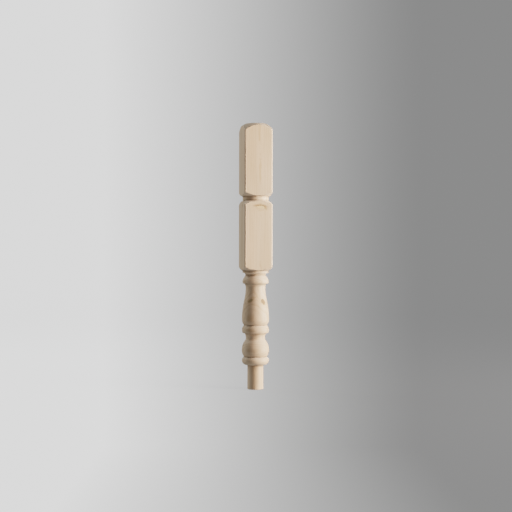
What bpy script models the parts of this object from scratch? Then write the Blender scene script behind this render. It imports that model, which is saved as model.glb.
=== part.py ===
"""Landing newel post: one square timber, turned between its blocks, with a round peg below.

Units are metres and +Z is up. The origin is the middle of the peg's lower end, which is
the post's lowest point, and the faces of the square blocks look along X and Y.
"""

import math

import bmesh
import bpy
from mathutils import Matrix, Vector

# Square timber
SECTION_WIDTH = 0.090
OVERALL_LENGTH = 0.835
ARRIS_RADIUS = 0.0042
ARRIS_STEPS = 4

# Peg that goes into the newel base
PEG_DIAMETER = 0.050
PEG_LENGTH = 0.077
PEG_CHAMFER = 0.001

# Base bead, with a flat seat under it and a notch over it
SEAT_DIAMETER = 0.065
BASE_BEAD_DIAMETER = 0.085
BASE_BEAD_LENGTH = 0.025
BASE_BEAD_LOWER_LENGTH = 0.0135
BASE_NOTCH_DIAMETER = 0.072

# Ball, drawn up into the waist
BALL_DIAMETER = 0.0855
BALL_LENGTH = 0.059
BALL_LOWER_LENGTH = 0.0215
BALL_SHARE_OF_OGEE = 0.82
WAIST_DIAMETER = 0.060

# Lower collar, sharp edged below, with a cove between it and the waist
LOWER_COVE_LENGTH = 0.016
LOWER_COVE_DIAMETER = 0.069
LOWER_COLLAR_EDGE_DIAMETER = 0.0805
LOWER_COLLAR_DIAMETER = 0.085
LOWER_COLLAR_LENGTH = 0.0245
LOWER_COLLAR_LOWER_LENGTH = 0.009
LOWER_COLLAR_NOTCH_DIAMETER = 0.072

# Vase, swelling downwards from its neck
VASE_DIAMETER = 0.085
VASE_LENGTH = 0.119
VASE_LOWER_LENGTH = 0.017
VASE_SHARE_OF_OGEE = 0.62
VASE_NECK_DIAMETER = 0.0615

# Upper collar, sharp edged below and flared to a notch above
UPPER_COVE_LENGTH = 0.012
UPPER_COVE_DIAMETER = 0.071
UPPER_COLLAR_EDGE_DIAMETER = 0.079
UPPER_COLLAR_DIAMETER = 0.0825
UPPER_COLLAR_LENGTH = 0.0255
UPPER_COLLAR_LOWER_LENGTH = 0.0075
UPPER_COLLAR_FLARE_BULGE = 0.14
UPPER_COLLAR_NOTCH_DIAMETER = 0.063

# Cavetto and fillet under the lower block
CAVETTO_LENGTH = 0.0085
CAVETTO_DIAMETER = 0.074
FILLET_DIAMETER = 0.082
FILLET_LENGTH = 0.0065

# Blocks, the neck between them, and their turned shoulders
LOWER_BLOCK_LENGTH = 0.220
NECK_DIAMETER = 0.0815
NECK_LENGTH = 0.0132
SHOULDER_RISE = 0.0135
SHOULDER_BULGE = 0.03
CROWN_FLAT_DIAMETER = 0.068
CROWN_DROP = 0.0262
CROWN_BULGE = 0.12

# Facets: how far a flat may cut inside a curve of the outline, and flats around the post
OUTLINE_TOLERANCE = 0.00013
FLATS_AROUND = 48

# Pale planed softwood
WOOD_COLOUR = (0.66, 0.52, 0.38, 1.0)
WOOD_ROUGHNESS = 0.62
WOOD_METALLIC = 0.0

CORNER_RADIUS = SECTION_WIDTH / math.sqrt(2)
CLEAR_RADIUS = CORNER_RADIUS + 0.006


class Outline:
    """Radius and height pairs of the turned outline, drawn from the peg upwards."""

    def __init__(self, radius, height):
        self.points = [Vector((radius, height))]

    @property
    def height(self):
        return self.points[-1].y

    def line_to(self, diameter, rise):
        """Go straight to a diameter, a rise above the last point."""
        self.points.append(Vector((diameter / 2, self.height + rise)))

    def arc_to(self, diameter, rise, bulge):
        """Go along a circular arc; a positive bulge is rounded and a negative one hollow."""
        start = self.points[-1]
        chord = Vector((diameter / 2, start.y + rise)) - start
        turn = 4 * math.atan(bulge)
        radius = chord.length / (2 * math.sin(abs(turn) / 2))
        step_angle = 2 * math.acos(1 - OUTLINE_TOLERANCE / radius)
        steps = max(2, math.ceil(abs(turn) / step_angle))
        for step in range(1, steps + 1):
            swept = turn * step / steps
            reach = 2 * radius * math.sin(abs(swept) / 2)
            bearing = Matrix.Rotation(-(turn - swept) / 2, 2)
            self.points.append(start + bearing @ chord.normalized() * reach)

    def swell_to(self, diameter, rise):
        """Go along an arc that stands upright where it ends."""
        self.arc_to(diameter, rise, self.upright_bulge(diameter, rise))

    def fall_to(self, diameter, rise):
        """Go along an arc that stands upright where it starts."""
        self.arc_to(diameter, rise, -self.upright_bulge(diameter, rise))

    def ogee_to(self, diameter, rise, share):
        """Go along two arcs, upright at both ends, that meet at a share of the way."""
        start = self.points[-1]
        meeting = start.x + (diameter / 2 - start.x) * share
        self.fall_to(meeting * 2, rise * share)
        self.swell_to(diameter, rise * (1 - share))

    def upright_bulge(self, diameter, rise):
        step_out = diameter / 2 - self.points[-1].x
        return math.tan(math.atan2(step_out, rise) / 2)


def draw_peg(outline):
    outline.line_to(PEG_DIAMETER - 2 * PEG_CHAMFER, 0)
    outline.line_to(PEG_DIAMETER, PEG_CHAMFER)
    outline.line_to(PEG_DIAMETER, PEG_LENGTH - PEG_CHAMFER)


def draw_base_bead(outline):
    outline.line_to(SEAT_DIAMETER, 0)
    outline.swell_to(BASE_BEAD_DIAMETER, BASE_BEAD_LOWER_LENGTH)
    outline.fall_to(BASE_NOTCH_DIAMETER, BASE_BEAD_LENGTH - BASE_BEAD_LOWER_LENGTH)


def draw_ball(outline):
    outline.swell_to(BALL_DIAMETER, BALL_LOWER_LENGTH)
    outline.ogee_to(WAIST_DIAMETER, BALL_LENGTH - BALL_LOWER_LENGTH, BALL_SHARE_OF_OGEE)


def draw_lower_collar(outline):
    outline.fall_to(LOWER_COVE_DIAMETER, LOWER_COVE_LENGTH)
    outline.line_to(LOWER_COLLAR_EDGE_DIAMETER, 0)
    outline.swell_to(LOWER_COLLAR_DIAMETER, LOWER_COLLAR_LOWER_LENGTH)
    upper_length = LOWER_COLLAR_LENGTH - LOWER_COLLAR_LOWER_LENGTH
    outline.fall_to(LOWER_COLLAR_NOTCH_DIAMETER, upper_length)


def draw_vase(outline):
    outline.swell_to(VASE_DIAMETER, VASE_LOWER_LENGTH)
    outline.ogee_to(VASE_NECK_DIAMETER, VASE_LENGTH - VASE_LOWER_LENGTH, VASE_SHARE_OF_OGEE)


def draw_upper_collar(outline):
    outline.fall_to(UPPER_COVE_DIAMETER, UPPER_COVE_LENGTH)
    outline.line_to(UPPER_COLLAR_EDGE_DIAMETER, 0)
    outline.swell_to(UPPER_COLLAR_DIAMETER, UPPER_COLLAR_LOWER_LENGTH)
    upper_length = UPPER_COLLAR_LENGTH - UPPER_COLLAR_LOWER_LENGTH
    outline.arc_to(UPPER_COLLAR_NOTCH_DIAMETER, upper_length, UPPER_COLLAR_FLARE_BULGE)


def draw_fillet(outline):
    outline.fall_to(CAVETTO_DIAMETER, CAVETTO_LENGTH)
    outline.line_to(FILLET_DIAMETER, 0)
    outline.line_to(FILLET_DIAMETER, FILLET_LENGTH)


def draw_block(outline, straight_length):
    """Leave the square timber untouched between two shoulders."""
    outline.line_to(2 * CLEAR_RADIUS, 0)
    outline.line_to(2 * CLEAR_RADIUS, straight_length)
    outline.line_to(2 * CORNER_RADIUS, 0)


def turned_outline():
    """The outline of everything that the lathe may leave, from the peg to the crown."""
    outline = Outline(0, 0)
    draw_peg(outline)
    draw_base_bead(outline)
    draw_ball(outline)
    draw_lower_collar(outline)
    draw_vase(outline)
    draw_upper_collar(outline)
    draw_fillet(outline)
    outline.arc_to(2 * CORNER_RADIUS, SHOULDER_RISE, SHOULDER_BULGE)
    draw_block(outline, LOWER_BLOCK_LENGTH - 2 * SHOULDER_RISE)
    outline.arc_to(NECK_DIAMETER, SHOULDER_RISE, SHOULDER_BULGE)
    outline.line_to(NECK_DIAMETER, NECK_LENGTH)
    outline.arc_to(2 * CORNER_RADIUS, SHOULDER_RISE, SHOULDER_BULGE)
    draw_block(outline, OVERALL_LENGTH - CROWN_DROP - outline.height)
    outline.arc_to(CROWN_FLAT_DIAMETER, CROWN_DROP, CROWN_BULGE)
    outline.line_to(0, 0)
    return outline.points


def wood_material():
    material = bpy.data.materials.new("pale_softwood")
    material.use_nodes = True
    shader = material.node_tree.nodes["Principled BSDF"]
    shader.inputs["Base Color"].default_value = WOOD_COLOUR
    shader.inputs["Roughness"].default_value = WOOD_ROUGHNESS
    shader.inputs["Metallic"].default_value = WOOD_METALLIC
    return material


def object_from(bm, name):
    mesh = bpy.data.meshes.new(name)
    bm.to_mesh(mesh)
    bm.free()
    made = bpy.data.objects.new(name, mesh)
    bpy.context.collection.objects.link(made)
    return made


def square_timber():
    """The planed timber with its four long arrises eased, as long as the post."""
    bm = bmesh.new()
    bmesh.ops.create_cube(bm, size=1)
    bmesh.ops.scale(bm, verts=bm.verts, vec=(SECTION_WIDTH, SECTION_WIDTH, OVERALL_LENGTH * 1.1))
    bmesh.ops.translate(bm, verts=bm.verts, vec=(0, 0, OVERALL_LENGTH / 2))
    arrises = [edge for edge in bm.edges if is_upright(edge)]
    bmesh.ops.bevel(
        bm, geom=arrises, offset=ARRIS_RADIUS, offset_type="OFFSET", affect="EDGES",
        segments=ARRIS_STEPS, profile=0.5, material=-1)
    return object_from(bm, "newel_post")


def is_upright(edge):
    run = edge.verts[1].co - edge.verts[0].co
    return abs(run.z) > abs(run.x) + abs(run.y)


def turning_guide():
    """The turned outline spun round the post's axis."""
    bm = bmesh.new()
    verts = [bm.verts.new((point.x, 0, point.y)) for point in turned_outline()]
    edges = [bm.edges.new(pair) for pair in zip(verts, verts[1:])]
    bmesh.ops.spin(
        bm, geom=verts + edges, cent=(0, 0, 0), axis=(0, 0, 1),
        angle=2 * math.pi, steps=FLATS_AROUND, use_merge=True)
    bmesh.ops.remove_doubles(bm, verts=bm.verts, dist=0.000001)
    bmesh.ops.recalc_face_normals(bm, faces=bm.faces)
    guide = object_from(bm, "turning_guide")
    guide.hide_render = True
    guide.display_type = "WIRE"
    return guide


def clear_scene():
    for old in list(bpy.data.objects):
        bpy.data.objects.remove(old, do_unlink=True)


def make_newel_post():
    post = square_timber()
    turning = post.modifiers.new("turning", "BOOLEAN")
    turning.operation = "INTERSECT"
    turning.solver = "EXACT"
    turning.object = turning_guide()
    post.data.materials.append(wood_material())
    post.data.shade_smooth()
    post.data.set_sharp_from_angle(angle=math.radians(25))
    return post


clear_scene()
make_newel_post()
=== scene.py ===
"""Landing newel post of bare pine, turned from one square timber, on a plain pale studio floor.

Units are metres and +Z is up. The origin is the middle of the peg's lower end, and the faces
of the square blocks look along X and Y, as in the frame.
"""

import math

import bmesh
import bpy
from bpy.props import FloatProperty, FloatVectorProperty, IntProperty, PointerProperty
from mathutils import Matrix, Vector


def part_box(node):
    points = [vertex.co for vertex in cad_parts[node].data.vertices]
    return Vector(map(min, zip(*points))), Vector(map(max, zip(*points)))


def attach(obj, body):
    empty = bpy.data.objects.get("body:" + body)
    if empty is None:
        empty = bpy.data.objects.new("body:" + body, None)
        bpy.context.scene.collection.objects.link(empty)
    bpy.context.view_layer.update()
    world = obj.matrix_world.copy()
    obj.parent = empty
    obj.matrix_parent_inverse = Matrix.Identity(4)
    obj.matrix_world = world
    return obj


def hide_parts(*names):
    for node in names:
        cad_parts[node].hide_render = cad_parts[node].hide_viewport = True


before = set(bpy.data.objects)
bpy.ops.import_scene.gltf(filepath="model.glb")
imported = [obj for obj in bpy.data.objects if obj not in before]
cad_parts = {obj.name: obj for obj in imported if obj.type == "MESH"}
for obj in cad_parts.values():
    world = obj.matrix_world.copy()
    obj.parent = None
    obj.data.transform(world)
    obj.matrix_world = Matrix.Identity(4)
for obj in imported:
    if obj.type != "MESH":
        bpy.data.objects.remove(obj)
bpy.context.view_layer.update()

bl_info = {
    "name": "Newel Post",
    "version": (1, 0, 0),
    "blender": (4, 5, 0),
    "location": "View3D > Sidebar > Newel Post",
    "description":
        "Makes a landing newel post turned from one square pine timber, and a studio to show it in",
    "category": "Object",
}

POST_NODE = "newel_post"
POST_LOW, POST_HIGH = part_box(POST_NODE)
UP = Vector((0, 0, 1))


class BlockSizes(bpy.types.PropertyGroup):
    """The square timber and what the lathe leaves square"""

    section_width: FloatProperty(
        name="Section Width", description="Width across the flats of the square blocks",
        default=POST_HIGH.x - POST_LOW.x, unit="LENGTH", precision=4)
    overall_length: FloatProperty(
        name="Overall Length", description="Length of the post from the peg's end to the crown",
        default=POST_HIGH.z - POST_LOW.z, unit="LENGTH", precision=4)
    arris_radius: FloatProperty(
        name="Arris Radius", description="Rounding of the four long edges of the planed timber",
        default=0.0042, unit="LENGTH", precision=4)
    cut_edge: FloatProperty(
        name="Cut Edge",
        description="Width of the fine bevel that sanding leaves on the sharp edges",
        default=0.00035, unit="LENGTH", precision=5)
    lower_block_length: FloatProperty(
        name="Lower Block Length", description="Length of the lower block with both shoulders",
        default=0.220, unit="LENGTH", precision=4)
    shoulder_rise: FloatProperty(
        name="Shoulder Rise", description="Height of the turned shoulder at each end of a block",
        default=0.0135, unit="LENGTH", precision=4)
    shoulder_bulge: FloatProperty(
        name="Shoulder Bulge", description="How rounded the shoulders are; 0 is a straight cone",
        default=0.03)
    neck_diameter: FloatProperty(
        name="Neck Diameter", description="Diameter of the round neck between the two blocks",
        default=0.0815, unit="LENGTH", precision=4)
    neck_length: FloatProperty(
        name="Neck Length", description="Height of the round neck between the two blocks",
        default=0.0132, unit="LENGTH", precision=4)
    crown_flat_diameter: FloatProperty(
        name="Crown Flat Diameter", description="Diameter of the flat on top of the crown",
        default=0.068, unit="LENGTH", precision=4)
    crown_drop: FloatProperty(
        name="Crown Drop",
        description="How far the rounded crown falls from the flat to the corners",
        default=0.0262, unit="LENGTH", precision=4)
    crown_bulge: FloatProperty(
        name="Crown Bulge", description="How rounded the crown is; 0 is a straight cone",
        default=0.12)


class FootSizes(bpy.types.PropertyGroup):
    """The peg, the base bead and the ball"""

    peg_diameter: FloatProperty(
        name="Peg Diameter", description="Diameter of the round peg below the post",
        default=0.050, unit="LENGTH", precision=4)
    peg_length: FloatProperty(
        name="Peg Length", description="Length of the peg below its seat",
        default=0.077, unit="LENGTH", precision=4)
    peg_chamfer: FloatProperty(
        name="Peg Chamfer", description="Chamfer round the peg's lower end",
        default=0.001, unit="LENGTH", precision=4)
    seat_diameter: FloatProperty(
        name="Seat Diameter", description="Diameter of the flat seat at the top of the peg",
        default=0.065, unit="LENGTH", precision=4)
    bead_diameter: FloatProperty(
        name="Base Bead Diameter", description="Greatest diameter of the base bead",
        default=0.085, unit="LENGTH", precision=4)
    bead_length: FloatProperty(
        name="Base Bead Length", description="Height of the base bead",
        default=0.025, unit="LENGTH", precision=4)
    bead_lower_length: FloatProperty(
        name="Base Bead Lower Length",
        description="Height from the seat to the bead's widest level",
        default=0.0135, unit="LENGTH", precision=4)
    bead_notch_diameter: FloatProperty(
        name="Base Notch Diameter", description="Diameter of the notch over the base bead",
        default=0.072, unit="LENGTH", precision=4)
    ball_diameter: FloatProperty(
        name="Ball Diameter", description="Greatest diameter of the ball",
        default=0.0855, unit="LENGTH", precision=4)
    ball_length: FloatProperty(
        name="Ball Length", description="Height from the notch to the waist",
        default=0.059, unit="LENGTH", precision=4)
    ball_lower_length: FloatProperty(
        name="Ball Lower Length", description="Height from the notch to the ball's widest level",
        default=0.0215, unit="LENGTH", precision=4)
    ball_share: FloatProperty(
        name="Ball Share", description="Share of the curve up to the waist that is rounded",
        default=0.82, subtype="FACTOR", min=0.0, max=1.0)
    waist_diameter: FloatProperty(
        name="Waist Diameter", description="Diameter of the waist over the ball",
        default=0.060, unit="LENGTH", precision=4)


class VaseSizes(bpy.types.PropertyGroup):
    """The two collars, the vase between them, and the fillet under the lower block"""

    lower_cove_length: FloatProperty(
        name="Lower Cove Length",
        description="Height of the cove from the waist to the lower collar",
        default=0.016, unit="LENGTH", precision=4)
    lower_cove_diameter: FloatProperty(
        name="Lower Cove Diameter", description="Diameter of that cove where it meets the collar",
        default=0.069, unit="LENGTH", precision=4)
    lower_collar_edge: FloatProperty(
        name="Lower Collar Edge", description="Diameter of the lower collar's sharp lower edge",
        default=0.0805, unit="LENGTH", precision=4)
    lower_collar_diameter: FloatProperty(
        name="Lower Collar Diameter", description="Greatest diameter of the lower collar",
        default=0.085, unit="LENGTH", precision=4)
    lower_collar_length: FloatProperty(
        name="Lower Collar Length", description="Height of the lower collar",
        default=0.0245, unit="LENGTH", precision=4)
    lower_collar_lower_length: FloatProperty(
        name="Lower Collar Lower Length", description="Height from its edge to its widest level",
        default=0.009, unit="LENGTH", precision=4)
    lower_collar_notch: FloatProperty(
        name="Lower Collar Notch", description="Diameter of the notch over the lower collar",
        default=0.072, unit="LENGTH", precision=4)
    vase_diameter: FloatProperty(
        name="Vase Diameter", description="Greatest diameter of the vase, near its foot",
        default=0.085, unit="LENGTH", precision=4)
    vase_length: FloatProperty(
        name="Vase Length", description="Height of the vase",
        default=0.119, unit="LENGTH", precision=4)
    vase_lower_length: FloatProperty(
        name="Vase Lower Length", description="Height from the notch to the vase's widest level",
        default=0.017, unit="LENGTH", precision=4)
    vase_share: FloatProperty(
        name="Vase Share", description="Share of the curve up to the vase's neck that is rounded",
        default=0.62, subtype="FACTOR", min=0.0, max=1.0)
    vase_neck_diameter: FloatProperty(
        name="Vase Neck Diameter", description="Diameter of the vase's neck",
        default=0.0615, unit="LENGTH", precision=4)
    upper_cove_length: FloatProperty(
        name="Upper Cove Length",
        description="Height of the cove from the neck to the upper collar",
        default=0.012, unit="LENGTH", precision=4)
    upper_cove_diameter: FloatProperty(
        name="Upper Cove Diameter", description="Diameter of that cove where it meets the collar",
        default=0.071, unit="LENGTH", precision=4)
    upper_collar_edge: FloatProperty(
        name="Upper Collar Edge", description="Diameter of the upper collar's sharp lower edge",
        default=0.079, unit="LENGTH", precision=4)
    upper_collar_diameter: FloatProperty(
        name="Upper Collar Diameter", description="Greatest diameter of the upper collar",
        default=0.0825, unit="LENGTH", precision=4)
    upper_collar_length: FloatProperty(
        name="Upper Collar Length", description="Height of the upper collar",
        default=0.0255, unit="LENGTH", precision=4)
    upper_collar_lower_length: FloatProperty(
        name="Upper Collar Lower Length", description="Height from its edge to its widest level",
        default=0.0075, unit="LENGTH", precision=4)
    upper_collar_flare: FloatProperty(
        name="Upper Collar Flare",
        description="How rounded the collar's flare is; 0 is a straight cone",
        default=0.14)
    upper_collar_notch: FloatProperty(
        name="Upper Collar Notch", description="Diameter of the notch over the upper collar",
        default=0.063, unit="LENGTH", precision=4)
    cavetto_length: FloatProperty(
        name="Cavetto Length", description="Height of the cavetto under the fillet",
        default=0.0085, unit="LENGTH", precision=4)
    cavetto_diameter: FloatProperty(
        name="Cavetto Diameter", description="Diameter of the cavetto where it meets the fillet",
        default=0.074, unit="LENGTH", precision=4)
    fillet_diameter: FloatProperty(
        name="Fillet Diameter", description="Diameter of the fillet under the lower block",
        default=0.082, unit="LENGTH", precision=4)
    fillet_length: FloatProperty(
        name="Fillet Length", description="Height of the fillet under the lower block",
        default=0.0065, unit="LENGTH", precision=4)


class PineFinish(bpy.types.PropertyGroup):
    """Colours and grain of the bare pine"""

    early_colour: FloatVectorProperty(
        name="Early Wood", description="Pale wood between the dark lines of the rings",
        default=(0.69, 0.522, 0.40, 1.0), size=4, subtype="COLOR", min=0.0, max=1.0)
    late_colour: FloatVectorProperty(
        name="Late Wood", description="Dark line at the outer side of each ring",
        default=(0.50, 0.32, 0.175, 1.0), size=4, subtype="COLOR", min=0.0, max=1.0)
    live_knot_colour: FloatVectorProperty(
        name="Live Knot", description="Wood of the warm brown knots",
        default=(0.31, 0.195, 0.115, 1.0), size=4, subtype="COLOR", min=0.0, max=1.0)
    curl_colour: FloatVectorProperty(
        name="Curl", description="Pale wood inside the curl of the grain on the front face",
        default=(0.84, 0.65, 0.43, 1.0), size=4, subtype="COLOR", min=0.0, max=1.0)
    dead_knot_colour: FloatVectorProperty(
        name="Dead Knot", description="Wood of the dull knot",
        default=(0.42, 0.31, 0.19, 1.0), size=4, subtype="COLOR", min=0.0, max=1.0)
    end_colour: FloatVectorProperty(
        name="End Grain", description="Wood cut across its fibres, on the shoulders and the crown",
        default=(0.735, 0.605, 0.505, 1.0), size=4, subtype="COLOR", min=0.0, max=1.0)
    ring_width: FloatProperty(
        name="Ring Width", description="Mean width of a growth ring",
        default=0.0027, unit="LENGTH", precision=4)
    roughness: FloatProperty(
        name="Roughness", description="Roughness of the planed faces",
        default=0.55, subtype="FACTOR", min=0.0, max=1.0)


class StudioSettings(bpy.types.PropertyGroup):
    """The floor, the lights and the camera"""

    # The tones of the painted glow of the floor and backdrop, pale on one side and grey on the
    # other.
    pale_side: FloatVectorProperty(
        name="Pale Side",
        description="Colour of the floor and backdrop on the side away from the key light",
        default=(0.76, 0.76, 0.76, 1.0), size=4, subtype="COLOR", min=0.0, max=1.0)
    grey_side: FloatVectorProperty(
        name="Grey Side",
        description="Colour of the floor and backdrop on the side of the key light",
        default=(0.215, 0.215, 0.215, 1.0), size=4, subtype="COLOR", min=0.0, max=1.0)
    # Painted light: the floor and backdrop glow by themselves, and no lamp lights them from behind.
    paper_glow: FloatProperty(
        name="Paper Glow", description="How far the floor and backdrop are lit from behind",
        default=0.96, subtype="FACTOR", min=0.0, max=1.0)
    floor_radius: FloatProperty(
        name="Floor Radius", description="Radius of the flat floor inside the round backdrop",
        default=4.4, unit="LENGTH")
    key_power: FloatProperty(
        name="Key Power", description="Power of the large soft light on the right",
        default=74.0, unit="POWER")
    fill_power: FloatProperty(
        name="Fill Power", description="Power of the soft light behind on the left",
        default=27.0, unit="POWER")
    camera_azimuth: FloatProperty(
        name="Camera Azimuth", description="Direction of the camera round the post",
        default=math.radians(-12.78), subtype="ANGLE")
    camera_distance: FloatProperty(
        name="Camera Distance", description="Level distance from the post's axis to the camera",
        default=3.155, unit="LENGTH")
    camera_height: FloatProperty(
        name="Camera Height", description="Height of the level camera over the floor",
        default=0.4193, unit="LENGTH", precision=4)
    camera_turn: FloatProperty(
        name="Camera Turn", description="How far right of the post's axis the camera looks",
        default=0.00045, subtype="ANGLE", precision=5)
    camera_roll: FloatProperty(
        name="Camera Roll", description="Turn of the camera about its own line of sight",
        default=math.radians(-0.1), subtype="ANGLE")
    lens: FloatProperty(
        name="Lens", description="Focal length in millimetres on a sensor 36 mm wide",
        default=70.3)


class NewelSettings(bpy.types.PropertyGroup):
    """All that a user may change"""

    blocks: PointerProperty(
        type=BlockSizes, name="Blocks", description="Sizes of the square blocks")
    foot: PointerProperty(
        type=FootSizes, name="Foot", description="Sizes of the peg, bead and ball")
    vase: PointerProperty(
        type=VaseSizes, name="Vase", description="Sizes of the vase and its collars")
    pine: PointerProperty(type=PineFinish, name="Pine", description="Colours and grain of the pine")
    studio: PointerProperty(
        type=StudioSettings, name="Studio", description="Floor, lights and camera")
    steps_around: IntProperty(
        name="Steps Around", description="Number of flats round the turned parts",
        default=192, min=24, max=360)


# Shape

# How far the facets may stray from a true arc, and the fewest that an arc may have.
OUTLINE_TOLERANCE = 0.000012
LEAST_ARC_STEPS = 3
ARRIS_STEPS = 6
EDGE_STEPS = 2
# The timber's length before it is cut, in lengths of the post, and the guide's room round it.
TIMBER_LENGTHS = 1.1
CLEARANCE = 0.006
MERGE_DISTANCE = 0.000001
# From which angle an edge is shaded sharp, and from which it is a cut edge or a corner.
SHARP_ANGLE = math.radians(28)
CUT_ANGLE = math.radians(32)
# How far the painted shade of an inner corner reaches, and the digits that tell corners apart.
CORNER_SHADE_REACH = 0.0062
PLACE_DIGITS = 5


class TurnedOutline:
    """The outline of the turning, drawn upwards by extruding and spinning its tip."""

    def __init__(self, mesh, radius, height):
        self.mesh = mesh
        self.tip = mesh.verts.new((radius, 0, height))

    @property
    def height(self):
        return self.tip.co.z

    def line_to(self, diameter, rise):
        """Go straight to a diameter, a rise above the tip."""
        end = Vector((diameter / 2, 0, self.height + rise))
        self.tip = bmesh.ops.extrude_vert_indiv(self.mesh, verts=[self.tip])["verts"][0]
        self.tip.co = end

    def arc_to(self, diameter, rise, bulge):
        """Go along a circular arc; a positive bulge is rounded and a negative one hollow."""
        start = self.tip.co.copy()
        end = Vector((diameter / 2, 0, start.z + rise))
        chord = end - start
        turn = 4 * math.atan(bulge)
        radius = chord.length / (2 * math.sin(abs(turn) / 2))
        inward = Vector((-chord.z, 0, chord.x)).normalized()
        centre = (start + end) / 2 + inward * (chord.length / 2 / math.tan(turn / 2))
        step_angle = 2 * math.acos(1 - OUTLINE_TOLERANCE / radius)
        swept = bmesh.ops.spin(
            self.mesh, geom=[self.tip], cent=centre, axis=(0, -1, 0), angle=turn,
            steps=max(LEAST_ARC_STEPS, math.ceil(abs(turn) / step_angle)))
        self.tip = swept["geom_last"][0]
        self.tip.co = end

    def swell_to(self, diameter, rise):
        """Go along an arc that stands upright where it ends."""
        self.arc_to(diameter, rise, self.upright_bulge(diameter, rise))

    def fall_to(self, diameter, rise):
        """Go along an arc that stands upright where it starts."""
        self.arc_to(diameter, rise, -self.upright_bulge(diameter, rise))

    def ogee_to(self, diameter, rise, share):
        """Go along two arcs, upright at both ends, that meet at a share of the way."""
        start = self.tip.co.x
        meeting = start + (diameter / 2 - start) * share
        self.fall_to(meeting * 2, rise * share)
        self.swell_to(diameter, rise * (1 - share))

    def upright_bulge(self, diameter, rise):
        step_out = diameter / 2 - self.tip.co.x
        return math.tan(math.atan2(step_out, rise) / 2)


def draw_foot(outline, foot):
    """The peg with its seat, the base bead, and the ball drawn up into the waist."""
    outline.line_to(foot.peg_diameter - 2 * foot.peg_chamfer, 0)
    outline.line_to(foot.peg_diameter, foot.peg_chamfer)
    outline.line_to(foot.peg_diameter, foot.peg_length - foot.peg_chamfer - CORNER_SHADE_REACH)
    outline.line_to(foot.peg_diameter, CORNER_SHADE_REACH)
    outline.line_to(foot.seat_diameter, 0)
    outline.swell_to(foot.bead_diameter, foot.bead_lower_length)
    outline.fall_to(foot.bead_notch_diameter, foot.bead_length - foot.bead_lower_length)
    outline.swell_to(foot.ball_diameter, foot.ball_lower_length)
    outline.ogee_to(foot.waist_diameter, foot.ball_length - foot.ball_lower_length, foot.ball_share)


def draw_vase(outline, vase):
    """The lower collar, the vase, the upper collar, and the cavetto and fillet over it."""
    outline.fall_to(vase.lower_cove_diameter, vase.lower_cove_length)
    outline.line_to(vase.lower_collar_edge, 0)
    outline.swell_to(vase.lower_collar_diameter, vase.lower_collar_lower_length)
    upper_length = vase.lower_collar_length - vase.lower_collar_lower_length
    outline.fall_to(vase.lower_collar_notch, upper_length)
    outline.swell_to(vase.vase_diameter, vase.vase_lower_length)
    upper_length = vase.vase_length - vase.vase_lower_length
    outline.ogee_to(vase.vase_neck_diameter, upper_length, vase.vase_share)
    outline.fall_to(vase.upper_cove_diameter, vase.upper_cove_length)
    outline.line_to(vase.upper_collar_edge, 0)
    outline.swell_to(vase.upper_collar_diameter, vase.upper_collar_lower_length)
    flare_length = vase.upper_collar_length - vase.upper_collar_lower_length
    outline.arc_to(vase.upper_collar_notch, flare_length, vase.upper_collar_flare)
    outline.fall_to(vase.cavetto_diameter, vase.cavetto_length)
    outline.line_to(vase.fillet_diameter, 0)
    outline.line_to(vase.fillet_diameter, vase.fillet_length)


def draw_blocks(outline, blocks):
    """The blocks' shoulders, the neck between them, and the crown; the blocks stay square."""
    corner = blocks.section_width * math.sqrt(2)
    clear = corner + 2 * CLEARANCE
    shoulder = (blocks.shoulder_rise, blocks.shoulder_bulge)
    outline.arc_to(corner, *shoulder)
    outline.line_to(clear, 0)
    outline.line_to(clear, blocks.lower_block_length - 2 * blocks.shoulder_rise)
    outline.line_to(corner, 0)
    outline.arc_to(blocks.neck_diameter, *shoulder)
    outline.line_to(blocks.neck_diameter, blocks.neck_length / 2)
    outline.line_to(blocks.neck_diameter, blocks.neck_length / 2)
    outline.arc_to(corner, *shoulder)
    outline.line_to(clear, 0)
    outline.line_to(clear, blocks.overall_length - blocks.crown_drop - outline.height)
    outline.line_to(corner, 0)
    outline.arc_to(blocks.crown_flat_diameter, blocks.crown_drop, blocks.crown_bulge)
    outline.line_to(0, 0)


def object_from(mesh, name):
    """Makes an object of a bmesh and frees the bmesh."""
    data = bpy.data.meshes.new(name)
    mesh.to_mesh(data)
    mesh.free()
    made = bpy.data.objects.new(name, data)
    bpy.context.scene.collection.objects.link(made)
    return made


def spin_round(mesh, steps):
    """Spins an outline round the upright axis into a skin that faces outwards."""
    bmesh.ops.spin(
        mesh, geom=mesh.verts[:] + mesh.edges[:], cent=(0, 0, 0), axis=UP,
        angle=2 * math.pi, steps=steps, use_merge=True)
    bmesh.ops.remove_doubles(mesh, verts=mesh.verts, dist=MERGE_DISTANCE)
    bmesh.ops.recalc_face_normals(mesh, faces=mesh.faces)


def turning_guide(settings):
    """The turned outline spun round the post's axis."""
    mesh = bmesh.new()
    outline = TurnedOutline(mesh, 0, 0)
    draw_foot(outline, settings.foot)
    draw_vase(outline, settings.vase)
    draw_blocks(outline, settings.blocks)
    spin_round(mesh, settings.steps_around)
    return object_from(mesh, "turning_guide")


def is_upright(edge):
    run = edge.verts[1].co - edge.verts[0].co
    return abs(run.z) > abs(run.x) + abs(run.y)


def square_timber(blocks):
    """The planed timber with its four long arrises eased, longer than the post."""
    mesh = bmesh.new()
    bmesh.ops.create_cube(mesh, size=1)
    length = blocks.overall_length * TIMBER_LENGTHS
    size = (blocks.section_width, blocks.section_width, length)
    bmesh.ops.scale(mesh, verts=mesh.verts, vec=size)
    bmesh.ops.translate(mesh, verts=mesh.verts, vec=UP * blocks.overall_length / 2)
    bmesh.ops.bevel(
        mesh, geom=[edge for edge in mesh.edges if is_upright(edge)], offset=blocks.arris_radius,
        offset_type="OFFSET", affect="EDGES", segments=ARRIS_STEPS, profile=0.5, material=-1)
    return object_from(mesh, "turned_newel")


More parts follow.
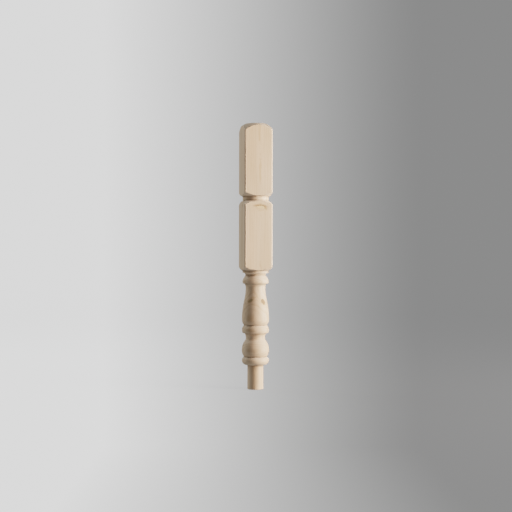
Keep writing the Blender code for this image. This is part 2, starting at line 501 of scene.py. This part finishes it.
def settle(piece):
    """Makes the piece's modifiers part of its mesh."""
    shown = piece.evaluated_get(bpy.context.evaluated_depsgraph_get())
    piece.data = bpy.data.meshes.new_from_object(shown)
    piece.data.name = piece.name
    piece.modifiers.clear()


def cut_to(piece, guide):
    """Leaves of the piece only what lies inside the guide, and removes the guide."""
    cut = piece.modifiers.new("turning", "BOOLEAN")
    cut.operation = "INTERSECT"
    cut.solver = "EXACT"
    cut.object = guide
    settle(piece)
    bpy.data.objects.remove(guide, do_unlink=True)


def soften_cut_edges(mesh, width):
    """Bevels the sharp outward edges that the lathe and the saw leave, and marks them as wear,
    lightened like the painted arris highlight.
    """
    sharp = [
        edge for edge in mesh.edges
        if len(edge.link_faces) == 2 and edge.calc_face_angle_signed() > CUT_ANGLE]
    made = bmesh.ops.bevel(
        mesh, geom=sharp, offset=width, offset_type="OFFSET", affect="EDGES",
        segments=EDGE_STEPS, profile=0.5, material=-1, clamp_overlap=True)
    worn = mesh.loops.layers.float.new("worn")
    for face in made["faces"]:
        for loop in face.loops:
            loop[worn] = 1.0


def mark_corner_shade(mesh):
    """Gives each vertex how near it is to an inner corner of the turning, 1 where it is in one, for
    the painted shade there.
    """
    corners = {
        (round(vert.co.xy.length, PLACE_DIGITS), round(vert.co.z, PLACE_DIGITS))
        for edge in mesh.edges if edge.calc_face_angle_signed() < -CUT_ANGLE
        for vert in edge.verts}
    hollow = mesh.verts.layers.float.new("hollow")
    for vert in mesh.verts:
        place = (vert.co.xy.length, vert.co.z)
        nearest = min(math.dist(place, corner) for corner in corners)
        vert[hollow] = max(0.0, 1 - nearest / CORNER_SHADE_REACH)


def finish_edges(piece, width):
    """Softens the piece's outward edges and marks its inner corners for painted shade."""
    mesh = bmesh.new()
    mesh.from_mesh(piece.data)
    bmesh.ops.remove_doubles(mesh, verts=mesh.verts, dist=MERGE_DISTANCE)
    soften_cut_edges(mesh, width)
    bmesh.ops.remove_doubles(mesh, verts=mesh.verts, dist=MERGE_DISTANCE)
    bmesh.ops.recalc_face_normals(mesh, faces=mesh.faces)
    mark_corner_shade(mesh)
    mesh.to_mesh(piece.data)
    mesh.free()


def shade_turned(piece):
    """Smooth shading, sharp at the cut lines, with the large flats kept flat to their edges."""
    piece.data.shade_smooth()
    piece.data.set_sharp_from_angle(angle=SHARP_ANGLE)
    weighted = piece.modifiers.new("flats", "WEIGHTED_NORMAL")
    weighted.mode = "FACE_AREA"
    weighted.keep_sharp = True
    settle(piece)


# Pine: the tree and its knots

# Where the middle of the tree runs through the timber.
PITH = (0.003, 0.006)
# Each shift: its waves to the metre and its reach along each axis, then its detail and roughness.
SLOW_WANDER = ((11, 11, 2.2), (0.011, 0.011, 0), 2.0, 0.5)
FINE_WANDER = ((160, 160, 45), (0.0013, 0.0013, 0.0016), 2.0, 0.5)
RAGGED_EDGE = ((190, 190, 190), (0, 0.0055, 0.0055), 3.0, 0.6)
# The length in which a branch takes hold at the pith, and how fast it ends behind it.
BRANCH_ROOT = 0.012
BEHIND_PITH = 50.0
# How far the rings swell out round a knot, out to how many of its radii, and how softly they join.
COLLAR_PULL = 0.005
COLLAR_REACH = 3.04
GRAIN_BLEND = 0.003
# Where a knot's wood and its dark rim begin and end, and how far round the rim reaches.
KNOT_EDGE = (0.004, -0.003)
RIM_START = 0.001
RIM_FADE = -0.5


class Knot:
    """A branch that grew out from the pith and shows on the surface at one place."""

    def __init__(self, shows, radius, rise, roll, spread, colour, depth, rim, rim_width, dark_side):
        self.radius = radius
        self.spread = spread
        self.colour = colour
        self.depth = depth
        self.rim = rim
        self.rim_width = rim_width
        self.dark_side = (0, math.cos(math.radians(dark_side)), math.sin(math.radians(dark_side)))
        run = Vector(shows).xy - Vector(PITH)
        self.reach = run.length
        self.turn = (math.radians(roll), -math.radians(rise), math.atan2(run.y, run.x))
        self.start = (*PITH, shows[2] - self.reach * math.tan(math.radians(rise)))


KNOTS = (
    Knot(
        shows=(-0.0220, -0.0272, 0.2797), radius=0.0060, rise=14, roll=34, spread=(1.5, 0.72),
        colour="dead_knot_colour", depth=0.72, rim=0.7, rim_width=0.014, dark_side=180),
    Knot(
        shows=(0.0168, -0.0317, 0.2768), radius=0.0090, rise=10, roll=-60, spread=(1.12, 0.76),
        colour="live_knot_colour", depth=0.85, rim=0.8, rim_width=0.016, dark_side=0),
    Knot(
        shows=(0.0048, -0.0450, 0.5716), radius=0.0068, rise=7, roll=-5, spread=(1.85, 0.68),
        colour="curl_colour", depth=0.5, rim=1.0, rim_width=0.075, dark_side=95),
    Knot(
        shows=(0.0212, -0.0450, 0.5678), radius=0.0035, rise=7, roll=-35, spread=(1.4, 0.8),
        colour="live_knot_colour", depth=0.22, rim=0.6, rim_width=0.020, dark_side=60),
    Knot(
        shows=(-0.0450, -0.0160, 0.5760), radius=0.0030, rise=12, roll=0, spread=(1.0, 1.0),
        colour="live_knot_colour", depth=0.4, rim=0.5, rim_width=0.010, dark_side=90),
)


class Sketch:
    """Adds the nodes of one material, each linked to what it reads."""

    COLUMNS = 16
    COLUMN_WIDTH = 200
    ROW_HEIGHT = 260

    def __init__(self, name):
        self.material = bpy.data.materials.new(name)
        self.material.use_nodes = True
        self.tree = self.material.node_tree
        self.shader = self.tree.nodes["Principled BSDF"]

    def add(self, kind, inputs, **settings):
        """Adds a node and links or sets the inputs that are named."""
        node = self.tree.nodes.new("ShaderNode" + kind)
        row, column = divmod(len(self.tree.nodes), self.COLUMNS)
        node.location = (self.COLUMN_WIDTH * (column - self.COLUMNS), -self.ROW_HEIGHT * row)
        for name, value in settings.items():
            setattr(node, name, value)
        for name, value in inputs.items():
            self.feed(node.inputs[name], value)
        return node

    def feed(self, socket, value):
        if isinstance(value, bpy.types.NodeSocket):
            self.tree.links.new(value, socket)
        else:
            socket.default_value = value

    def math(self, operation, *values):
        return self.add("Math", dict(enumerate(values)), operation=operation).outputs[0]

    def times(self, value, factor):
        return self.math("MULTIPLY", value, factor)

    def vector(self, operation, *values):
        return self.add("VectorMath", dict(enumerate(values)), operation=operation).outputs[0]

    def length(self, vector):
        return self.add("VectorMath", {0: vector}, operation="LENGTH").outputs["Value"]

    def dot(self, vector, way):
        return self.add("VectorMath", {0: vector, 1: way}, operation="DOT_PRODUCT").outputs["Value"]

    def scaled(self, vector, factor):
        return self.add("VectorMath", {0: vector, "Scale": factor}, operation="SCALE").outputs[0]

    def split(self, vector):
        return self.add("SeparateXYZ", {0: vector}).outputs[:]

    def add_up(self, total, *parts):
        """Adds to the total each part's value times its weight."""
        for value, weight in parts:
            total = self.math("MULTIPLY_ADD", value, weight, total)
        return total

    def fade(self, value, start, end, low=0.0, high=1.0):
        """Goes smoothly from low to high as the value goes from start to end."""
        inputs = {"Value": value, "From Min": start, "From Max": end, "To Min": low, "To Max": high}
        return self.add("MapRange", inputs, interpolation_type="SMOOTHSTEP").outputs[0]

    def noise(self, place, waves, detail, roughness):
        """Noise with so many waves to the metre along each axis."""
        inputs = {
            "Vector": self.vector("MULTIPLY", place, waves), "Scale": 1.0,
            "Detail": detail, "Roughness": roughness}
        return self.add("TexNoise", inputs)

    def drift(self, place, waves, reach, detail, roughness):
        """A shift that wanders from place to place, by up to half its reach either way."""
        wave = self.noise(place, waves, detail, roughness).outputs["Color"]
        return self.vector("MULTIPLY", self.vector("SUBTRACT", wave, (0.5, 0.5, 0.5)), reach)

    def mix(self, factor, first, second, blend="MIX"):
        node = self.add("Mix", {"Factor": factor}, data_type="RGBA", blend_type=blend)
        first_colour, second_colour = (socket for socket in node.inputs if socket.type == "RGBA")
        self.feed(first_colour, first)
        self.feed(second_colour, second)
        return next(socket for socket in node.outputs if socket.type == "RGBA")

    def tint(self, colour, factor, tone):
        """Multiplies a colour by a tone where the factor is 1."""
        return self.mix(factor, colour, (*tone, 1), "MULTIPLY")


def branch_place(sketch, place, knot):
    """How far a place is along the branch, beside it, and across it with a ragged edge."""
    local = sketch.add(
        "Mapping", {"Vector": place, "Location": knot.start, "Rotation": knot.turn},
        vector_type="TEXTURE").outputs[0]
    along, side, _ = sketch.split(local)
    ragged = sketch.vector("ADD", local, sketch.drift(local, *RAGGED_EDGE))
    across = sketch.vector("MULTIPLY", ragged, (0, 1 / knot.spread[0], 1 / knot.spread[1]))
    return along, side, across


def knot_and_rim(sketch, knot, past_edge, across):
    """The knot's wood, and its dark rim, which is strongest on one side."""
    inside = sketch.fade(past_edge, *KNOT_EDGE)
    rim = sketch.math("SUBTRACT", sketch.fade(past_edge, knot.rim_width, RIM_START), inside)
    dark = sketch.dot(across, knot.dark_side)
    dark = sketch.fade(dark, RIM_FADE * knot.radius, knot.radius)
    return inside, sketch.times(rim, dark)


def part_fibres(sketch, flow, knot, side, off_axis, outward):
    """Pushes the flow of the fibres sideways, so that they run round the knot."""
    core = knot.radius * knot.radius
    far = sketch.math("MAXIMUM", sketch.times(off_axis, off_axis), core)
    push = sketch.times(side, sketch.math("DIVIDE", core, far))
    push = sketch.times(push, outward)
    sideways = (math.sin(knot.turn[2]), -math.cos(knot.turn[2]), 0)
    return sketch.vector("ADD", flow, sketch.scaled(sideways, push))


def lay_knot(sketch, place, age, flow, knot):
    """Bends the rings round a knot; gives the age, the fibres' flow and the knot's masks."""
    along, side, across = branch_place(sketch, place, knot)
    off_axis = sketch.length(across)
    outward = sketch.fade(along, 0.0, BRANCH_ROOT)
    nearness = sketch.fade(off_axis, 0.0, knot.radius * COLLAR_REACH, 1.0, 0.0)
    nearness = sketch.times(nearness, outward)
    bent = sketch.math("MULTIPLY_ADD", nearness, -COLLAR_PULL, age)
    behind = sketch.times(sketch.math("MAXIMUM", sketch.times(along, -1.0), 0.0), BEHIND_PITH)
    branch_age = sketch.math("MULTIPLY_ADD", off_axis, knot.reach / knot.radius, behind)
    past_edge = sketch.math("SUBTRACT", branch_age, bent)
    inside, rim = knot_and_rim(sketch, knot, past_edge, across)
    joined = sketch.math("SMOOTH_MIN", bent, branch_age, GRAIN_BLEND)
    flow = part_fibres(sketch, flow, knot, side, off_axis, outward)
    return joined, flow, (inside, rim, nearness)


def grow_wood(sketch, place):
    """The age of the wood at a place, the flow of its fibres, and the masks of each knot."""
    wander = sketch.vector(
        "ADD", sketch.drift(place, *SLOW_WANDER), sketch.drift(place, *FINE_WANDER))
    wandering = sketch.vector("ADD", place, wander)
    from_pith = sketch.vector("SUBTRACT", wandering, (*PITH, 0))
    age = sketch.length(sketch.vector("MULTIPLY", from_pith, (1, 1, 0)))
    flow = place
    masks = []
    for knot in KNOTS:
        age, flow, knot_masks = lay_knot(sketch, wandering, age, flow, knot)
        masks.append(knot_masks)
    return age, flow, masks


# Pine: grain, wear, painted shade and highlight, and tool marks

# The rings: how their widths vary, how their dark lines begin and end, and how dark those are.
PACE_WAVES = 75.0
PACE_DETAIL = 1.0
PACE_DRIFT = 2.6
LATE_RISE = (0.35, 0.93)
LATE_END = (1.0, 0.955)
FAINTEST_RING = 0.45
LATE_SHARE = 0.34

# The knots: the warm wood round them, their dark rims, and how dark their own rings are.
COLLAR_SHARE = 0.55
COLLAR_TONE = (0.93, 0.86, 0.76)
RIM_TONE = (0.64, 0.56, 0.49)
KNOT_RING = 0.62

# The end grain: how far the wood faces up or down where it starts, and the darker patch on the
# crown's right shoulder.
CUT_ACROSS = (0.25, 0.95)
END_SHARE = 0.85
END_RING_TONE = (0.90, 0.86, 0.81)
CROWN_DARK_PATCH = (0.037, -0.027, 0.826)
DARK_PATCH_FADE = (0.022, 0.010)
DARK_PATCH_TONE = (0.64, 0.63, 0.62)

# Painted shade in the inner corners, darkest where the wood faces down, and the painted highlight
# and wear on the edges.
CORNER_SHADE_FULL = 0.9
CORNER_SHADE_FACING = (0.3, -0.3, 0.25, 1.0)
CORNER_SHADE_TONE = (0.70, 0.675, 0.65)
ARRIS_HIGHLIGHT_FADE = (0.0018, 0.0002)
ARRIS_HIGHLIGHT_PATCHES = (0.25, 0.6, 0.6, 1.0)
HIGHLIGHT_AND_WEAR_TONE = (1.14, 1.16, 1.20)

# What each adds to the roughness, and to the height of the surface in metres.
LATE_ROUGHNESS = -0.09
WORN_ROUGHNESS = -0.08
HOLLOW_ROUGHNESS = 0.10
FIBRE_ROUGHNESS = 0.10
END_ROUGHNESS = 0.16
SPECULAR = 0.3
FIBRE_RELIEF = 0.000035
THREAD_RELIEF = 0.000012
LATE_RELIEF = 0.000030
PORE_RELIEF = 0.00008

# The tools' marks: waves to the metre, detail, roughness, height; the planer's are on faces.
LATHE_MARKS = ((9, 9, 1150), 2.0, 0.6)
LATHE_RELIEF = 0.000022
PLANER_MARKS = ((14, 14, 420), 1.0, 0.5)
PLANER_RELIEF = 0.000010
PLANED_DEPTHS = (0.0005, 0.0001)


class Mottle:
    """A pattern of noise in the wood, and the tone that it gives where it is strong."""

    def __init__(self, waves, tone, fade, detail=2.0, roughness=0.5):
        self.noise = (waves, detail, roughness)
        self.tone = tone
        self.fade = fade

    def pattern(self, sketch, place):
        return sketch.noise(place, *self.noise).outputs[0]

    def strength(self, sketch, pattern):
        return sketch.fade(pattern, *self.fade)

    def lay(self, sketch, colour, pattern):
        return sketch.tint(colour, self.strength(sketch, pattern), self.tone)


FIBRES = Mottle((620, 620, 14), (0.90, 0.87, 0.83), (0.52, 0.78), detail=3.0, roughness=0.6)
THREADS = Mottle((1900, 1900, 55), (0.80, 0.74, 0.68), (0.62, 0.74, 0.0, 0.5))
PATCHES = Mottle((24, 24, 2.6), (0.94, 0.925, 0.90), (0.35, 0.68))
WARMTH = Mottle((17, 17, 1.9), (1.0, 0.965, 0.945), (0.40, 0.66), detail=1.0)
WARMTH_START = (3.1, 1.7, 0.4)
PORES = Mottle((2600, 2600, 2600), (0.82, 0.78, 0.72), (0.5, 0.75))


def late_wood(sketch, age, ring_width):
    """The dark line at the outer side of each ring, stronger in some rings than in others."""
    pace = sketch.add(
        "TexNoise", {"W": age, "Scale": PACE_WAVES, "Detail": PACE_DETAIL},
        noise_dimensions="1D").outputs[0]
    rings = sketch.math("MULTIPLY_ADD", age, 1 / ring_width, sketch.times(pace, PACE_DRIFT))
    ring = sketch.math("FRACT", rings)
    strength = sketch.add(
        "TexWhiteNoise", {"W": sketch.math("FLOOR", rings)}, noise_dimensions="1D").outputs["Value"]
    strength = sketch.add("MapRange", {"Value": strength, "To Min": FAINTEST_RING}).outputs[0]
    late = sketch.times(sketch.fade(ring, *LATE_RISE), sketch.fade(ring, *LATE_END))
    return sketch.times(late, strength)


def colour_knot(sketch, colour, late, knot, masks, wood):
    """Lays the warm wood round a knot, the knot with its own rings, and its dark rim."""
    inside, rim, near = masks
    colour = sketch.tint(colour, sketch.times(near, COLLAR_SHARE), COLLAR_TONE)
    ringed = sketch.mix(late, wood, [part * KNOT_RING for part in wood[:3]] + [1])
    colour = sketch.mix(sketch.times(inside, knot.depth), colour, ringed)
    return sketch.tint(colour, sketch.times(rim, knot.rim), RIM_TONE)


def colour_end_grain(sketch, colour, late, cut_across, pores, place, end_colour):
    """Lays the end grain with its rings and pores, and a darker patch on the crown's right
    shoulder.
    """
    ringed = sketch.tint(end_colour, late, END_RING_TONE)
    colour = sketch.mix(sketch.times(cut_across, END_SHARE), colour, ringed)
    open_pores = sketch.times(cut_across, PORES.strength(sketch, pores))
    colour = sketch.tint(colour, open_pores, PORES.tone)
    # A darker patch on the crown's right shoulder.
    dark_patch = sketch.length(sketch.vector("SUBTRACT", place, CROWN_DARK_PATCH))
    dark_patch = sketch.times(sketch.fade(dark_patch, *DARK_PATCH_FADE), cut_across)
    return sketch.tint(colour, dark_patch, DARK_PATCH_TONE)


def painted_corner_shade(sketch, facing):
    """Painted shade in the inner corners of the turning, most where the wood faces down."""
    hollow = sketch.add("Attribute", {}, attribute_name="hollow").outputs["Fac"]
    hollow = sketch.fade(hollow, 0.0, CORNER_SHADE_FULL)
    return sketch.times(hollow, sketch.fade(facing, *CORNER_SHADE_FACING))


def painted_highlight_and_wear(sketch, off_x, off_y, patches, blocks):
    """Painted highlight in two lines along each arris, stronger in patches, with the softened cut
    edges as wear.
    """
    arris_line = blocks.section_width / 2 - blocks.arris_radius
    from_line = sketch.math("SUBTRACT", sketch.math("MINIMUM", off_x, off_y), arris_line)
    arris_highlight = sketch.fade(sketch.math("ABSOLUTE", from_line), *ARRIS_HIGHLIGHT_FADE)
    arris_highlight = sketch.times(arris_highlight, sketch.fade(patches, *ARRIS_HIGHLIGHT_PATCHES))
    worn = sketch.add("Attribute", {}, attribute_name="worn").outputs["Fac"]
    return sketch.math("MAXIMUM", arris_highlight, worn)


def tool_marks(sketch, place, off_x, off_y, blocks):
    """The ripple that the planer leaves on the faces, and the lathe's lines on the turning."""
    face = blocks.section_width / 2
    from_axis = sketch.math("MAXIMUM", off_x, off_y)
    planed = sketch.fade(from_axis, *(face - depth for depth in PLANED_DEPTHS))
    lathe = sketch.noise(place, *LATHE_MARKS).outputs[0]
    planer = sketch.noise(place, *PLANER_MARKS).outputs[0]
    return sketch.mix(
        planed, sketch.times(lathe, LATHE_RELIEF),
        sketch.times(planer, PLANER_RELIEF))


def pine_material(pine, blocks):
    """Planed and turned pine: rings, knots, fibres, end grain and the tools' marks."""
    sketch = Sketch("bare_pine")
    place = sketch.add("TexCoord", {}).outputs["Object"]
    off_x, off_y = (sketch.math("ABSOLUTE", part) for part in sketch.split(place)[:2])
    facing = sketch.split(sketch.add("NewGeometry", {}).outputs["Normal"])[2]
    cut_across = sketch.fade(sketch.math("ABSOLUTE", facing), *CUT_ACROSS)
    age, flow, masks = grow_wood(sketch, place)
    late = late_wood(sketch, age, pine.ring_width)
    fibres = FIBRES.pattern(sketch, flow)
    threads = THREADS.pattern(sketch, flow)
    patches = PATCHES.pattern(sketch, place)
    warmth = WARMTH.pattern(sketch, sketch.vector("ADD", place, WARMTH_START))
    pores = PORES.pattern(sketch, place)
    hollow = painted_corner_shade(sketch, facing)
    worn = painted_highlight_and_wear(sketch, off_x, off_y, patches, blocks)

    colour = sketch.mix(sketch.times(late, LATE_SHARE), pine.early_colour, pine.late_colour)
    colour = PATCHES.lay(sketch, colour, patches)
    colour = WARMTH.lay(sketch, colour, warmth)
    colour = FIBRES.lay(sketch, colour, fibres)
    colour = THREADS.lay(sketch, colour, threads)
    for knot, knot_masks in zip(KNOTS, masks):
        wood = getattr(pine, knot.colour)
        colour = colour_knot(sketch, colour, late, knot, knot_masks, wood)
    colour = colour_end_grain(sketch, colour, late, cut_across, pores, place, pine.end_colour)
    # Painted shade in the inner corners, darkest where the wood faces down.
    colour = sketch.tint(colour, hollow, CORNER_SHADE_TONE)
    # Painted highlight along the arrises, and the same lighter tone as wear on the cut edges.
    colour = sketch.tint(colour, worn, HIGHLIGHT_AND_WEAR_TONE)

    rough = sketch.add_up(
        pine.roughness, (late, LATE_ROUGHNESS), (worn, WORN_ROUGHNESS),
        (hollow, HOLLOW_ROUGHNESS), (fibres, FIBRE_ROUGHNESS), (cut_across, END_ROUGHNESS))
    relief = sketch.add_up(
        tool_marks(sketch, place, off_x, off_y, blocks), (fibres, FIBRE_RELIEF),
        (threads, THREAD_RELIEF), (late, LATE_RELIEF),
        (sketch.times(pores, cut_across), PORE_RELIEF))
    bump = sketch.add("Bump", {"Height": relief, "Distance": 1.0, "Strength": 1.0}).outputs[0]

    sketch.feed(sketch.shader.inputs["Base Color"], colour)
    sketch.feed(sketch.shader.inputs["Roughness"], rough)
    sketch.feed(sketch.shader.inputs["Normal"], bump)
    sketch.shader.inputs["Specular IOR Level"].default_value = SPECULAR
    return sketch.material


# Studio

WARM_LIGHT = (1.0, 0.94, 0.89)
COOL_LIGHT = (0.90, 0.985, 1.0)
AIR_STRENGTH = 0.155
# The lamps: their size, their distance from the post, and the place that they face.
LAMP_SIZE = 0.9
LAMP_DISTANCE = 2.4
LAMP_AIM = UP * 0.42
# Each lamp: its name, its direction and its height in degrees, and its share of the power.
KEY_LAMPS = (("key", 62.2, 5, 1.0), ("key_high", 47.2, 35, 0.265), ("key_low", 47.2, -25, 0.213))
FILL_LAMPS = (("fill_high", -132.8, 35, 0.61), ("fill_low", -102.8, -25, 0.39))

# The paper's painted glow: the slants of the line of sight at which it is darkest and palest.
PAPER_NEAREST = 2.2
PAPER_SLANTS = (0.168, -0.152)
PAPER_CURVE = 1.5
PAPER_MATT = (0.10, 0.10, 0.10)
# The curve from the floor up to the backdrop, and the backdrop's height.
COVE_RADIUS = 1.2
COVE_STEPS = 24
WALL_HEIGHT = 3.4
FLOOR_STEPS = 128
SENSOR_WIDTH = 36


def direction(azimuth, elevation):
    """The way from the post to a lamp or the camera; azimuth 0 is its front and 90 degrees +X."""
    level = math.cos(elevation)
    return Vector((math.sin(azimuth) * level, -math.cos(azimuth) * level, math.sin(elevation)))


def paper_material(studio):
    """Matt paper that glows with painted light, pale on the left and grey on the right as seen by
    the camera.
    """
    sketch = Sketch("studio_paper")
    place = sketch.add("TexCoord", {}).outputs["Object"]
    front = direction(studio.camera_azimuth, 0) * studio.camera_distance
    seen = sketch.add(
        "Mapping", {"Vector": place, "Location": front, "Rotation": (0, 0, studio.camera_azimuth)},
        vector_type="TEXTURE").outputs[0]
    right, ahead, _ = sketch.split(seen)
    slant = sketch.math("DIVIDE", right, sketch.math("MAXIMUM", ahead, PAPER_NEAREST))
    darkest, palest = PAPER_SLANTS
    share = sketch.add(
        "MapRange", {"Value": slant, "From Min": darkest, "From Max": palest}).outputs[0]
    tone = sketch.mix(sketch.math("POWER", share, PAPER_CURVE), studio.grey_side, studio.pale_side)
    sketch.feed(sketch.shader.inputs["Base Color"], sketch.tint(tone, 1.0, PAPER_MATT))
    # The floor and backdrop glow with this painted tone.
    sketch.feed(sketch.shader.inputs["Emission Color"], tone)
    sketch.shader.inputs["Emission Strength"].default_value = studio.paper_glow
    sketch.shader.inputs["Roughness"].default_value = 1.0
    sketch.shader.inputs["Specular IOR Level"].default_value = 0.0
    return sketch.material


def lay_floor(studio):
    """The round floor of paper, curved up into a round backdrop."""
    mesh = bmesh.new()
    tip = mesh.verts.new((0, 0, 0))
    tip = bmesh.ops.extrude_vert_indiv(mesh, verts=[tip])["verts"][0]
    tip.co.x = studio.floor_radius
    swept = bmesh.ops.spin(
        mesh, geom=[tip], cent=(studio.floor_radius, 0, COVE_RADIUS), axis=(0, -1, 0),
        angle=math.pi / 2, steps=COVE_STEPS)
    tip = bmesh.ops.extrude_vert_indiv(mesh, verts=swept["geom_last"])["verts"][0]
    tip.co.z = WALL_HEIGHT
    spin_round(mesh, FLOOR_STEPS)
    bmesh.ops.reverse_faces(mesh, faces=mesh.faces)
    floor = object_from(mesh, "studio_floor")
    floor.data.shade_smooth()
    floor.data.materials.append(paper_material(studio))
    floor.visible_diffuse = False
    floor.visible_glossy = False
    floor.visible_shadow = False


def hang_lamp(name, azimuth, elevation, power, colour):
    """A large plain area light that faces the middle of the post."""
    lamp = bpy.data.lights.new(name, "AREA")
    lamp.shape = "SQUARE"
    lamp.size = LAMP_SIZE
    lamp.energy = power
    lamp.color = colour
    made = bpy.data.objects.new(name, lamp)
    bpy.context.scene.collection.objects.link(made)
    away = direction(math.radians(azimuth), math.radians(elevation))
    made.location = LAMP_AIM + away * LAMP_DISTANCE
    made.rotation_euler = away.to_track_quat("Z", "Y").to_euler()
    made.visible_camera = False


def light_studio(scene, studio):
    """The warm lamps on the right, the cool ones behind on the left, and the pale air."""
    for name, azimuth, elevation, share in KEY_LAMPS:
        hang_lamp(name, azimuth, elevation, studio.key_power * share, WARM_LIGHT)
    for name, azimuth, elevation, share in FILL_LAMPS:
        hang_lamp(name, azimuth, elevation, studio.fill_power * share, COOL_LIGHT)
    scene.world = bpy.data.worlds.new("studio_air")
    scene.world.use_nodes = True
    air = scene.world.node_tree.nodes["Background"]
    air.inputs["Color"].default_value = (*COOL_LIGHT, 1.0)
    air.inputs["Strength"].default_value = AIR_STRENGTH
    scene.view_settings.view_transform = "Filmic"
    scene.view_settings.look = "Very High Contrast"


def set_camera(scene, studio):
    """The level camera, a little left of the post's front."""
    camera = bpy.data.objects.new("camera", bpy.data.cameras.new("camera"))
    scene.collection.objects.link(camera)
    camera.data.lens = studio.lens
    camera.data.sensor_width = SENSOR_WIDTH
    camera.location = direction(studio.camera_azimuth, 0) * studio.camera_distance
    camera.location.z = studio.camera_height
    heading = studio.camera_azimuth - studio.camera_turn
    camera.rotation_euler = (math.pi / 2, studio.camera_roll, heading)
    scene.camera = camera


class NEWEL_OT_turn_post(bpy.types.Operator):
    """Turn the newel post from one square pine timber"""

    bl_idname = "newel.turn_post"
    bl_label = "Turn Newel Post"
    bl_options = {"REGISTER", "UNDO"}

    def execute(self, context):
        settings = context.scene.newel
        post = square_timber(settings.blocks)
        cut_to(post, turning_guide(settings))
        finish_edges(post, settings.blocks.cut_edge)
        shade_turned(post)
        post.data.materials.clear()
        post.data.materials.append(pine_material(settings.pine, settings.blocks))
        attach(post, "root")
        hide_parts(POST_NODE)
        return {"FINISHED"}


class NEWEL_OT_set_studio(bpy.types.Operator):
    """Set up the plain studio: the floor with its round backdrop, the lights and the camera"""

    bl_idname = "newel.set_studio"
    bl_label = "Set Up Studio"
    bl_options = {"REGISTER", "UNDO"}

    def execute(self, context):
        studio = context.scene.newel.studio
        lay_floor(studio)
        light_studio(context.scene, studio)
        set_camera(context.scene, studio)
        return {"FINISHED"}


class NEWEL_PT_panel(bpy.types.Panel):
    """Lists the operators in the sidebar"""

    bl_idname = "NEWEL_PT_panel"
    bl_label = "Newel Post"
    bl_space_type = "VIEW_3D"
    bl_region_type = "UI"
    bl_category = "Newel Post"

    def draw(self, context):
        layout = self.layout
        layout.operator(NEWEL_OT_turn_post.bl_idname)
        layout.operator(NEWEL_OT_set_studio.bl_idname)


CLASSES = (
    BlockSizes,
    FootSizes,
    VaseSizes,
    PineFinish,
    StudioSettings,
    NewelSettings,
    NEWEL_OT_turn_post,
    NEWEL_OT_set_studio,
    NEWEL_PT_panel,
)


def register():
    for made in CLASSES:
        bpy.utils.register_class(made)
    bpy.types.Scene.newel = PointerProperty(type=NewelSettings)


def unregister():
    del bpy.types.Scene.newel
    for made in reversed(CLASSES):
        bpy.utils.unregister_class(made)


def main():
    register()
    bpy.ops.newel.turn_post()
    bpy.ops.newel.set_studio()


if __name__ == "__main__":
    main()
